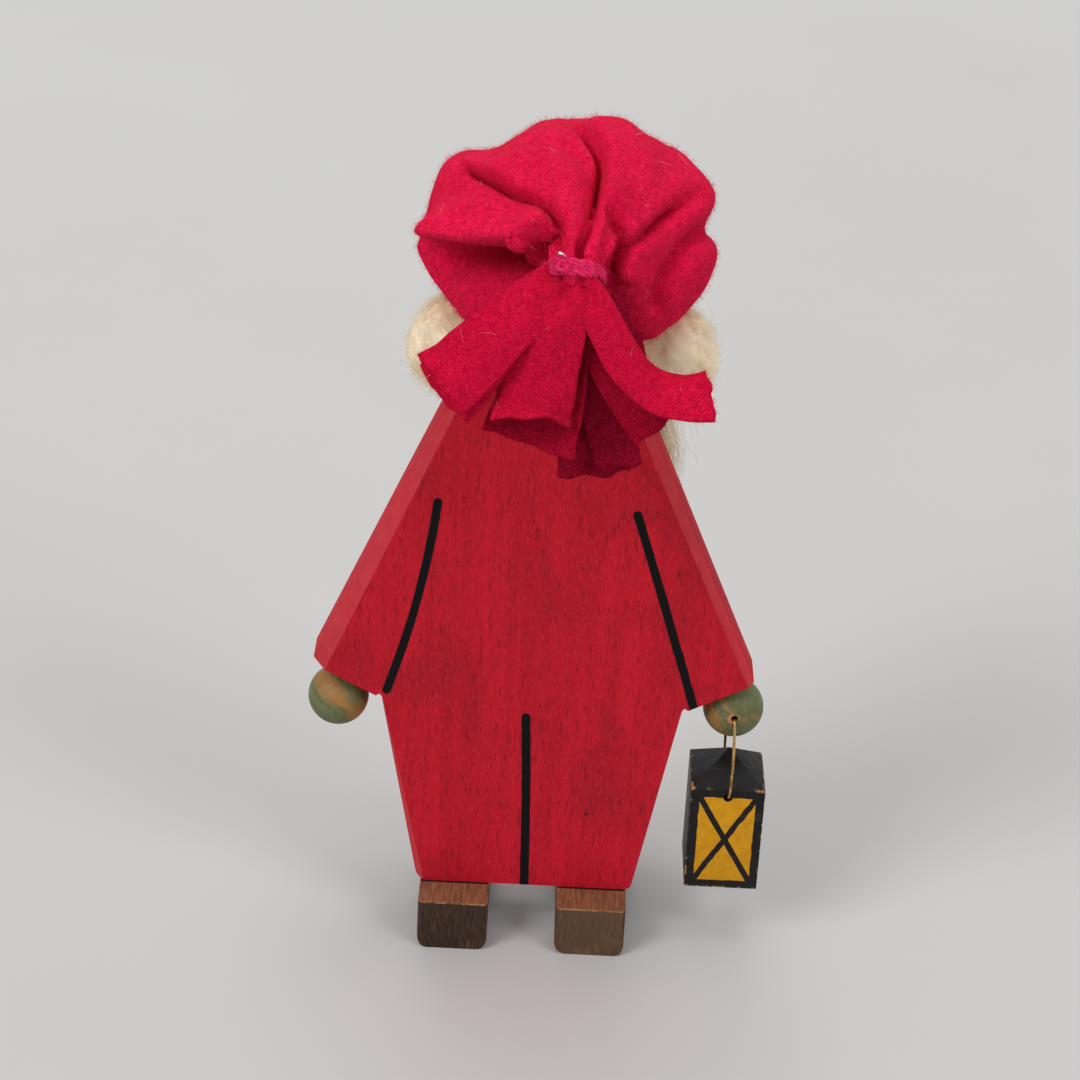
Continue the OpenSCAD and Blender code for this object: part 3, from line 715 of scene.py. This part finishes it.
def cap_folds(grid, reach, turn):
    """Moves the bag's points into the folds that run out from the tie."""
    normals = grid_normals(grid, True)
    normals *= np.sign(np.mean(np.sum(normals * (grid - CAP_AXIS), -1)))
    places = view_plane(grid)
    right, up = places[..., 0], places[..., 1]
    seen = smooth((normals @ VIEW_OUT + 0.15) / 0.4)
    out = np.zeros(right.shape)
    shift = np.zeros(places.shape)

    # Creases: a line from the rim to the tie, which side of it rolls over the other, then the width
    # and depth of the crease, the height of the roll and how far it laps over, all in mm.
    creases = [
        ([(0, 49), (4, 43), (7.4, 36), (7.2, 28), (6, 19), (4, 11), (1, 4)], 1, 2.0, 11.0, 3.4, 2.6),
        ([(-34, 34), (-27, 30), (-19, 24.5), (-12, 21.5), (-7, 18), (-4.5, 13)], 1, 2.1, 8.5, 3.0, 2.8),
        ([(31, 25), (24, 18), (19, 12), (14.5, 6), (13, 0)], 1, 2.2, 5.0, 2.4, 1.6),
        ([(9, 19), (13.5, 13), (13.5, 6), (11, 1)], 1, 1.8, 6.5, 3.2, 1.4),
        ([(41, 20), (34, 13), (28, 3), (24, -8)], 1, 2.4, 5.2, 2.2, 1.6),
        ([(36, 29), (28, 20), (22, 13)], -1, 3.0, 2.6, 1.8, 0.6),
    ]
    for line, side, width, depth, roll, lap in creases:
        gap, along, towards = from_line(places, line)
        held = smooth(along * 6 + 0.35) * smooth((1.03 - along) * 8)
        beside = gap * side / width
        over = np.exp(-((beside - 1.7) / 1.5) ** 2) * held
        out += roll * over - depth * np.exp(-(beside / 0.95) ** 2) * held
        shift += towards * (lap * over)[..., None]

    # Broad swells between the creases: (line, width, height).
    swells = [
        ([(-18, 36), (-8, 32), (-2, 24), (0, 14)], 6.0, 2.4),
        ([(12, 46), (17, 36), (14, 24)], 7.5, 2.6),
        ([(-37, 17), (-30, 18.5), (-20, 16.5), (-10, 14)], 4.2, 4.6),
        ([(34, 40), (38, 31), (36, 24)], 5.0, 2.6),
        ([(40, 8), (34, -2), (24, -12)], 6.0, 2.4),
        ([(-14, 42), (-4, 39), (2, 35)], 2.2, -1.4),
    ]
    for line, width, height in swells:
        gap = from_line(places, line)[0]
        out += height * np.exp(-(gap / width) ** 2)

    # The pocket at the left: a lobe hangs over a hollow that runs from the tie to the rim.
    lip = np.interp(right, [-54, -47, -38, -30, -20, -9, -5], [14, 14.5, 12, 10.4, 10.2, 10.5, 12])
    under = lip - up
    span = smooth((right + 49) / 10) * smooth((-3.5 - right) / 5)
    deep = span * smooth(under / 1.8) * (1 - smooth((under - 6) / 16))
    hang = span * np.exp(-((under + 2.0) / 3.0) ** 2)
    out += -20 * deep + 7.5 * hang
    shift[..., 1] -= 3.2 * hang

    move = normals * (out * seen * MM)[..., None]
    move += (shift[..., :1] * -X + shift[..., 1:] * VIEW_UP) * (seen * MM)[..., None]

    # Corners and dents of the outline: (right, up, reach, how far it is pushed sideways, and up).
    pushes = [
        (-53, 17.5, 6.5, 4.0, -3.0), (-51, 25, 7, 2.6, -1), (-52, 9, 5, -3.0, 0), (-38, 38, 6, -1.6, 0.5),
        (-25, 48, 11, 0, -6), (20, 51, 4.5, 0, -1.4), (43, 32, 6.5, 4.6, 5.0), (42, 20, 5, -2.6, 0),
        (-4, 54, 10, 0, -1.0), (32, 45, 8, 0.5, 2.4),
    ]
    for at_right, at_up, size, push, lift in pushes:
        near = np.exp(-((right - at_right) ** 2 + (up - at_up) ** 2) / size ** 2)
        move += (push * -X + lift * VIEW_UP) * (near * MM)[..., None]

    # Long soft folds over the front and the sides, which the view from behind doesn't reach.
    fan = np.sin(5 * turn + 0.4) + 0.7 * np.sin(9 * turn + 1.9) + 0.5 * np.sin(14 * turn + 4.1)
    far = smooth(reach / (50 * MM)) * smooth((1 - reach / reach[-1:]) * 4)
    near_tie = np.exp(-((reach / MM - 13) / 7) ** 2)
    waves = fan * far * (1 - seen) * 1.5 + np.sin(9 * turn + 0.9) * near_tie * 1.3
    waves += ripple(grid, 26 * MM, 11) * 0.5 + ripple(grid, 9 * MM, 12) * 0.16
    move += normals * (waves * MM)[..., None]
    folded = grid + move * smooth(reach / (4 * MM))[..., None]

    # Nothing is pressed into the head ball.
    from_head = folded - HEAD
    room = np.linalg.norm(from_head, axis=-1, keepdims=True)
    return HEAD + from_head * np.maximum(1, (HEAD_R + FELT_T + 1 * MM) / room)


def nap(name, surface, normals, count, length, radius, material, seed, slot="felt", lie=0.75):
    """Short loose fibres that lie on a surface and lift off it at their ends."""
    rng = np.random.default_rng(seed)
    chosen = rng.integers(0, len(surface), count)
    root, normal = surface[chosen], normals[chosen]
    spread = rng.normal(size=(count, 3))
    along = unit(spread - normal * np.sum(spread * normal, -1, keepdims=True))
    curl = unit(np.cross(normal, along)) * rng.normal(size=(count, 1))
    size = length * rng.uniform(0.5, 1.5, (count, 1))
    t = np.linspace(0, 1, 4)[:, None, None]
    paths = (root + along * size * t * lie + curl * size * t ** 2 * 0.45
             + normal * size * (t * 0.28 + t ** 2 * (1 - lie) * 0.8) - normal * 0.1 * MM)
    mesh = tubes(paths.transpose(1, 0, 2), radius * np.linspace(1, 0.45, 4))
    return make_piece(name, *mesh, material, slot)


def felt_cap():
    """The cap's felt with its nap and a little pale lint. Returns the grid of its outer face."""
    grid = softened(cap_folds(*cap_body()), 2, True)
    grid, normals = facing(grid, True, grid - CAP_AXIS)
    piece = make_piece("cap_felt", *felt_shell(grid, FELT_T, True), FELT_CAP, "felt")
    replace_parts(piece, "cap")
    inside_tie = 12
    shown = (grid[inside_tie:].reshape(-1, 3), normals[inside_tie:].reshape(-1, 3))
    fuzz = [nap(f"cap_nap_{part}", *shown, 8000, 1.8 * MM, 0.038 * MM, FELT_NAP, 23 + part, lie=0.6)
            for part in (1, 2, 3)]
    lint = nap("cap_lint", *shown, 45, 3.4 * MM, 0.03 * MM, WOOL, 22, "wool", lie=0.9)
    return grid


def pin_end(grid):
    """The short bright end of the pin, which lies on the felt above the tie."""
    target, count = [-4.8, 5.2], 9
    points = grid.reshape(-1, 3)
    near = points[np.linalg.norm(view_plane(points) - target, axis=-1) < 1.2]
    root = near[(near @ VIEW_OUT).argmax()] + VIEW_OUT * 0.5 * MM
    run = (-X * 0.85 - VIEW_UP * 0.5 + VIEW_OUT * 0.15) * 1.5 * MM
    path = root + run * np.linspace(-1, 1, count)[:, None]
    radii = 0.6 * MM * np.sqrt(np.sin(np.linspace(0.25, pi - 0.25, count)))
    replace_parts(make_piece("pin_end", *tubes(path[None], radii, 12), STEEL, "steel"), "cap_pin")


pin_end(felt_cap())


# ---------------- tail strips

# The rows of a strip that lie in the tie, where its edge isn't frayed.
TIED = 8


def tail_strip(index, line, widths, cup=1.0, twist=0.0, slant=0.0, material=FELT_TAIL):
    """A strip of felt from the tie to its ragged cut end.

    line is its middle, as (right, up, out) in mm: right and up as seen from behind, from the tie, and
    out how far it stands behind the tie. widths are those at the tie, halfway and at the end. cup
    bends it across its width, twist turns its end about its own length, in degrees, and slant makes
    its left side that many mm longer.
    """
    # t runs along the strip and q across it.
    rows, columns = 64, 24
    t = np.linspace(0, 1, rows)
    q = np.linspace(-1, 1, columns)
    right, up, out = bow(line, rows).T * MM
    spine = TIE + np.stack([-right, out, (up + out * sin(VIEW_LIFT)) / cos(VIEW_LIFT)], -1)
    along = unit(np.gradient(spine, axis=0))
    face = unit(VIEW_OUT - along * (along @ VIEW_OUT)[:, None])
    turns = radians(twist) * smooth(t * 1.2)
    across = np.cross(along, face)
    across = across * np.cos(turns)[:, None] + face * np.sin(turns)[:, None]
    face = np.cross(across, along)
    face *= np.sign((face @ VIEW_OUT).mean())
    half_wide = bow([(w, 0) for w in widths], rows)[:, 0] * MM / 2
    across_end = np.stack([q, q * 0 + index, q * 0], -1)
    ragged = sum(size * 0.55 * ripple(across_end, size, 40 + index) for size in (1.1, 0.45, 0.17))
    end = (ragged + slant / 2 * q) * (t ** 8)[:, None] * MM
    bent = cup * (1 - q ** 2) * smooth(t / 0.3)[:, None] * MM
    pleat = 1.1 * MM * np.cos(q * pi * 1.5 + index) * (1 - smooth(t / 0.4))[:, None]
    uneven = ripple(np.stack([t * 6, t * 0 + index, t * 0], -1), 1.7, 60 + index) * 0.3 * MM
    aside = half_wide[:, None] * q + uneven[:, None] * np.abs(q)
    grid = (spine[:, None, :] + across[:, None, :] * aside[..., None]
            + face[:, None, :] * (bent + pleat)[..., None] + along[:, None, :] * end[..., None])
    grid += face[:, None, :] * (ripple(grid, 15 * MM, 80 + index) * 0.45 * MM)[..., None]
    grid, normals = facing(softened(grid, 1, False), False, VIEW_OUT)
    piece = make_piece(f"tail_felt_{index}", *felt_shell(grid, FELT_T, False), material, "felt")
    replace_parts(piece, f"tail_strip_{index}")

    # Nap on both faces, a frayed rim, and lint on the strips that lie on top.
    top, outward = grid.reshape(-1, 3), normals.reshape(-1, 3)
    both_faces = np.concatenate([top, top - outward * FELT_T]), np.concatenate([outward, -outward])
    edges = [grid[-3:], grid[TIED:, :2], grid[TIED:, -2:]]
    rim = np.concatenate([edge.reshape(-1, 3) for edge in edges])
    rim_out = np.concatenate([np.broadcast_to(along[-1], (3 * columns, 3)),
                              np.repeat(-across[TIED:], 2, 0), np.repeat(across[TIED:], 2, 0)])
    # The strips in painted shade give their nap the same painted shade and their frayed rim the unshaded
    # tail felt; only the unshaded strips get lint.
    on_top = material == FELT_TAIL
    nap_felt, fray_felt = (FELT_NAP, FELT_NAP) if on_top else (material, FELT_TAIL)
    loose = [
        nap(f"tail_nap_{index}", *both_faces, 2600, 1.6 * MM, 0.036 * MM, nap_felt, 120 + index, lie=0.6),
        nap(f"tail_fray_{index}", rim, rim_out, 700, 1.1 * MM, 0.034 * MM, fray_felt, 140 + index, lie=0.35),
    ]
    if on_top:
        loose.append(nap(f"tail_lint_{index}", top, outward, 4, 4 * MM, 0.028 * MM, WOOL, 160 + index,
                         "wool", lie=0.9))


tail_strip(1, [(-1, -1, 4), (-7, -4.5, 7), (-16.5, -13.5, 11), (-28, -25.5, 13), (-37, -33.5, 13.5)],
           (9, 17, 22), 1.4, -6)
tail_strip(2, [(-1, -1, 5), (-2, -9, 9.5), (-5, -19, 12.5), (-8, -30, 13), (-9.6, -38, 14),
               (-10.2, -42, 17)],
           (9, 20, 23), 2.2, 4, slant=4)
tail_strip(3, [(0.5, -1, 5), (5.8, -8.6, 9), (11.9, -18.2, 11.5), (17.8, -26.6, 12.5), (25, -31.7, 12),
               (33, -33.2, 11), (41.5, -32.2, 11)],
           (10, 12.6, 17), 1.8, 26, slant=2)
tail_strip(4, [(-1, -1, 1.5), (-7, -6, 4), (-16.5, -15.5, 8), (-28, -27.5, 10), (-36.6, -36, 10.5)],
           (9, 16, 22), 1.2, -4)
# Strips 5 to 9 hang behind the others, in felt painted darker to stand for their shade.
tail_strip(5, [(1.5, -1, 2), (6.5, -13, 6), (15, -27, 8), (27.5, -41.5, 7.5)],
           (8, 15, 18), 1.2, slant=2, material=FELT_PAINTED_HALF_SHADE)
tail_strip(6, [(-1, -2, 2), (-3.5, -17, 6.5), (-7, -33, 8.5), (-11, -49.5, 13)],
           (9, 20, 27), -6, material=FELT_PAINTED_HALF_SHADE)
tail_strip(7, [(0.5, -1, 1), (5, -18, 4), (10.5, -36, 5), (16, -54, 4)],
           (7, 12, 14), 0.8, material=FELT_PAINTED_SHADE)
tail_strip(8, [(0, -1, -1), (3, -18, 1.5), (6.5, -36, 2.5), (9, -56.5, 1.5)],
           (8, 17, 22), 0.8, material=FELT_PAINTED_SHADE)
tail_strip(9, [(1.5, -1, 3), (8, -8, 6), (15, -17, 7.5), (21, -29, 7)],
           (7, 10, 7), 1.0, material=FELT_PAINTED_SHADE)


# ---------------- yarn tie

def yarn_tie():
    """Soft two-ply yarn wound a little over three and a half times round the gather, with a knot."""
    winds, count = 3.6, 700
    twists_a_wind = 7
    t = np.linspace(0, 1, count)
    turn = t * winds * 2 * pi - 0.6
    climb = (t - 0.5) * 3.6 * MM + 2.2 * MM * np.cos(turn) + 0.5 * MM * np.sin(turn + 1)
    radius = TIE_R - 3.3 * MM + 0.35 * MM * np.sin(turn * 2 + 0.5)
    round_tie = TIE_BACK * np.cos(turn)[:, None] * 0.96 + X * np.sin(turn)[:, None]
    core = TIE + TIE_UP * climb[:, None] + round_tie * radius[:, None]
    out = unit(round_tie)
    plies = []
    for phase in (0, pi):
        twist = t * winds * 2 * pi * twists_a_wind + phase
        plies.append(core + (out * np.cos(twist)[:, None] + TIE_UP * np.sin(twist)[:, None]) * 0.5 * MM)
    loop = np.linspace(0, 5 * pi, count)
    knot = (TIE + TIE_BACK * (TIE_R - 3.6 * MM) + X * 3.6 * MM + VIEW_UP * 2.6 * MM + VIEW_OUT * 0.4 * MM
            + (X * np.sin(loop)[:, None] + VIEW_UP * np.sin(loop * 1.4 + 0.5)[:, None]) * 1.5 * MM
            + VIEW_OUT * np.cos(loop * 2.2)[:, None] * 0.9 * MM)
    plies.append(knot)
    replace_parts(make_piece("tie_yarn", *tubes(plies, 0.62 * MM, 8), YARN, "yarn"), "cap_tie")
    surface = np.concatenate(plies)
    outward = np.concatenate([out, out, unit(knot - knot.mean(0))])
    surface += outward * 0.4 * MM
    nap("tie_fuzz", surface, outward, 1700, 2.0 * MM, 0.035 * MM, YARN, 31, "yarn", lie=0.6)


yarn_tie()


# ---------------- wool

def wool_locks(name, roots, directions, length, drop, points, seed, radius=0.055 * MM, curl=0.12):
    """Loose fibres of wool that leave their roots in a direction and bend down under their weight."""
    rng = np.random.default_rng(seed)
    many = len(roots)
    size = length * rng.uniform(0.6, 1.25, (many, 1))
    t = np.linspace(0, 1, points)[:, None, None]
    phase = rng.uniform(0, 2 * pi, (many, 1))
    side = unit(np.cross(directions, rng.normal(size=(many, 3))))
    wave = np.sin(t * 5 + phase) - np.sin(phase)
    paths = (roots + directions * size * t * (1 - 0.35 * drop * t) - Z * size * drop * t ** 2 * 0.6
             + side * size * curl * wave)
    mesh = tubes(paths.transpose(1, 0, 2), radius * np.linspace(1, 0.5, points))
    return make_piece(name, *mesh, WOOL, "wool")


def tuft(side):
    """Carded wool that swells out under the side of the cap."""
    node = "hair_left" if side > 0 else "hair_right"
    low, high = corners(node)
    half = (high - low) / 2
    centre = low + half + Z * 3.5 * MM
    rows, columns = 60, 90
    up = np.linspace(0.02, pi - 0.02, rows)[:, None]
    turn = np.linspace(0, 2 * pi, columns, endpoint=False)[None, :]
    ball = np.stack([np.sin(up) * np.cos(turn), np.sin(up) * np.sin(turn), np.cos(up) + 0 * turn], -1)
    lumps = 1 + 0.07 * ripple(ball, 1.3, 200 + side) + 0.03 * ripple(ball, 0.4, 7)
    grid = centre + ball * half * [1, 1, 1.1] * lumps[..., None]
    faces = grid_faces(rows, columns, True)
    faces += [list(range(columns))[::-1], [(rows - 1) * columns + j for j in range(columns)]]
    core = make_piece(f"{node}_core", grid.reshape(-1, 3), [face[::-1] for face in faces], WOOL, "wool")
    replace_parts(core, node)

    # Fibres that swirl over the tuft.
    rng = np.random.default_rng(210 + side)
    chosen = rng.integers(0, rows * columns, 4600)
    roots = grid.reshape(-1, 3)[chosen]
    normal = ball.reshape(-1, 3)[chosen]
    swirl = unit(np.cross(normal, unit(np.array([0.3 * side, 1.0, 0.5]))))
    directions = unit(swirl * rng.choice([-1, 1], (len(roots), 1)) + normal * 0.2
                      + rng.normal(scale=0.3, size=normal.shape))

    # Longer ones that fall from the temple, round the side of the head.
    count = 1500
    turn = (radians(90) + rng.uniform(-0.75, 0.5, count)) * side
    lift = rng.uniform(-0.35, 0.3, count)
    outward = np.stack([np.sin(turn) * np.cos(lift), -np.cos(turn) * np.cos(lift), np.sin(lift)], -1)
    fall = unit(outward * 0.35 - Z + rng.normal(scale=0.2, size=outward.shape))
    roots = np.concatenate([roots - normal * 0.5 * MM, HEAD + outward * HEAD_R])
    directions = np.concatenate([directions, fall * 1.8])
    wool_locks(f"{node}_fibres", roots, directions, 6 * MM, 0.2, 6, 220 + side, radius=0.045 * MM)


tuft(1)
tuft(-1)


def bulge(share, power):
    """A profile that swells from 0 at both ends of a share from 0 to 1; a low power makes it blunt."""
    return np.abs(np.sin(share * pi)) ** power


def beard():
    """A full carded beard from cheek to cheek, with a moustache under the nose."""
    low, high = corners("beard")
    rng = np.random.default_rng(300)
    half = (high - low) / 2
    centre = low + half - X * 3.5 * MM

    # The core: a curved sheet of wool that hangs from the chin in front of the board. u runs across
    # it and v down it.
    rows, columns = 70, 80
    u = np.linspace(-1, 1, columns)[None, :] * np.ones((rows, 1))
    v = np.linspace(0, 1, rows)[:, None] * np.ones((1, columns))
    width = half[0] * 0.84 * bulge(0.16 + v * 0.84, 0.55) * (1 - 0.22 * smooth(v * 1.6))
    depth = half[1] * 1.6 * np.sqrt(1 - u ** 2) * bulge(0.12 + v * 0.88, 0.7)
    top = HEAD[2] - 6 * MM
    hang = v * (top - low[2] - 6 * MM)
    grid = np.stack([centre[0] + u * width, high[1] - 1.5 * MM - depth,
                     top + u ** 2 * 13 * MM * (1 - v) - hang], -1)
    lumps = [ripple(grid, size * MM, seed) for size, seed in [(14, 301), (11, 302), (12, 303)]]
    grid += np.stack(lumps, -1) * 0.8 * MM
    core = make_piece("beard_core", *felt_shell(softened(grid, 2, False), -2 * MM, False), WOOL, "wool")
    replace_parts(core, "beard")

    # Three layers of locks: their number, how far they stand off, and their length in mm.
    flat = grid.reshape(-1, 3)
    for layer, (count, lift, size) in enumerate([(3000, 0.1, 24), (3000, 0.2, 18), (2600, 0.08, 30)]):
        chosen = rng.integers(0, len(flat), count)
        roots = flat[chosen] + rng.normal(scale=1.2 * MM, size=(count, 3))
        fan = (roots[:, :1] - HEAD[0]) / half[0]
        directions = unit(fan * 0.25 * X - lift * Y - Z + rng.normal(scale=0.15, size=(count, 3)))
        room = np.clip((roots[:, 2] - low[2] + 4 * MM) / (size * MM), 0.25, 1)[:, None]
        wool_locks(f"beard_locks_{layer + 1}", roots, directions * room, size * MM, 0.3, 9, 310 + layer,
                   curl=0.09)

    # A wisp that shows past the board's edge from behind.
    aside = np.array([centre[0] - half[0] * 0.62, centre[1], low[2] + 30 * MM])
    roots = aside + rng.normal(size=(420, 3)) * np.array([2, 1.2, 5]) * MM
    directions = unit(np.array([-0.33, -0.05, -1.0]) + rng.normal(scale=0.12, size=roots.shape))
    wool_locks("beard_wisp", roots, directions, 20 * MM, 0.2, 8, 330)

    # The moustache, from under the nose to both sides.
    for name, side in [("moustache_left", 1), ("moustache_right", -1)]:
        count = 900
        t = rng.uniform(0, 1, (count, 1))
        roots = NOSE + (np.array([side * 2, -1.5, -4.5]) + t * [side * 12, 3, -4]) * MM
        roots += rng.normal(scale=0.9 * MM, size=(count, 3))
        directions = unit(np.array([side, -0.05, -0.75]) + rng.normal(scale=0.2, size=(count, 3)))
        wool_locks(name, roots, directions, 15 * MM, 0.5, 9, 320 + side, curl=0.07)


beard()


# ---------------- wire

def lantern_wire():
    """Bent brass wire: over the hand, down both faces of the lantern and into its hole."""
    mid_x, mid_y, _ = middle("lantern_wire")
    reach = (WIRE_HIGH[1] - WIRE_LOW[1]) / 2 - WIRE_R
    top, low = WIRE_HIGH[2] - WIRE_R, WIRE_LOW[2] + WIRE_R
    # Its right half, as (Y from the middle, Z).
    half = [(0, top), (HAND_R * 0.6, top), (HAND_R - 0.4 * MM, top - 0.3 * MM),
            (HAND_R + 1.2 * MM, top - 3 * MM), (reach - 0.6 * MM, top - 10 * MM),
            (reach + 0.1 * MM, top - 16 * MM), (reach, low + 5 * MM), (reach, low + 1.6 * MM),
            (reach - 0.5 * MM, low + 0.4 * MM), (reach - 1.8 * MM, low), (reach - 7 * MM, low)]
    curve = bow(half, 70)
    line = np.concatenate([curve[::-1] * [-1, 1], curve[1:]])
    # The runs lean a little sideways, opposite ways, and the middle and the ends stay in their holes.
    lean = 0.5 * MM * np.sin(np.linspace(0, 2 * pi, len(line))) ** 3
    path = np.stack([mid_x + lean, mid_y + line[:, 0], line[:, 1]], -1)
    piece = make_piece("hanger_wire", *tubes(path[None], WIRE_R, 14), BRASS, "brass", "wire")
    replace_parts(piece, "lantern_wire")


lantern_wire()


# ---------------- floor, lights and camera

def studio():
    """A plain pale floor under an even, pale sky."""
    floor_half = 6
    mesh = bpy.data.meshes.new("floor")
    mesh.from_pydata([(x * floor_half, y * floor_half, 0) for x, y in [(-1, -1), (1, -1), (1, 1), (-1, 1)]],
                     [], [(0, 1, 2, 3)])
    p = Paint("floor", roughness=0.7, specular=0.3)
    pale = p.mix(p.noise(3), (183, 181, 179), (190, 189, 187))
    mesh.materials.append(p.finish(pale, p.bump(p.noise(900), 0.05 * MM, 0.3)))
    linked("floor", mesh)
    world = bpy.data.worlds.new("studio")
    bpy.context.scene.world = world
    world.use_nodes = True
    sky = world.node_tree.nodes["Background"].inputs
    sky["Color"].default_value = colour(236, 238, 240)
    sky["Strength"].default_value = 0.52


def look(direction, roll=0.0):
    """Turn of a camera or light so that it looks along a direction, rolled about it in degrees."""
    aim = Vector([float(c) for c in direction]).to_track_quat("-Z", "Y")
    return aim @ Quaternion((0, 0, 1), radians(roll))


def soft_light(name, direction, spread, strength):
    """A broad, even light that shines along a direction; spread is its width in degrees."""
    light = bpy.data.lights.new(name, "SUN")
    light.angle = radians(spread)
    light.energy = strength
    lamp = linked(name, light)
    lamp.rotation_mode = "QUATERNION"
    lamp.rotation_quaternion = look(direction)


def camera():
    """A camera behind the figure, at the photograph's height, distance and slight roll."""
    distance, height, roll = 0.88, 0.1459, 2.85
    aim = np.array([BOARD[0], BOARD[1], height])
    data = bpy.data.cameras.new("camera")
    data.sensor_width = 36
    data.lens = 91.4
    data.clip_end = 20
    view = linked("camera", data)
    view.location = aim + distance * VIEW_OUT
    view.rotation_mode = "QUATERNION"
    view.rotation_quaternion = look(-VIEW_OUT, roll)
    bpy.context.scene.camera = view


bpy.context.scene.view_settings.view_transform = "Standard"
studio()
soft_light("softbox_left", (-0.9, -0.75, -0.95), spread=26, strength=1.4)
soft_light("softbox_right", (0.9, -0.7, -0.9), spread=26, strength=0.8)
soft_light("softbox_top", (0, 0.1, -1.5), spread=36, strength=0.9)
soft_light("fill_front", (-0.2, 1.3, -0.65), spread=34, strength=0.5)
camera()
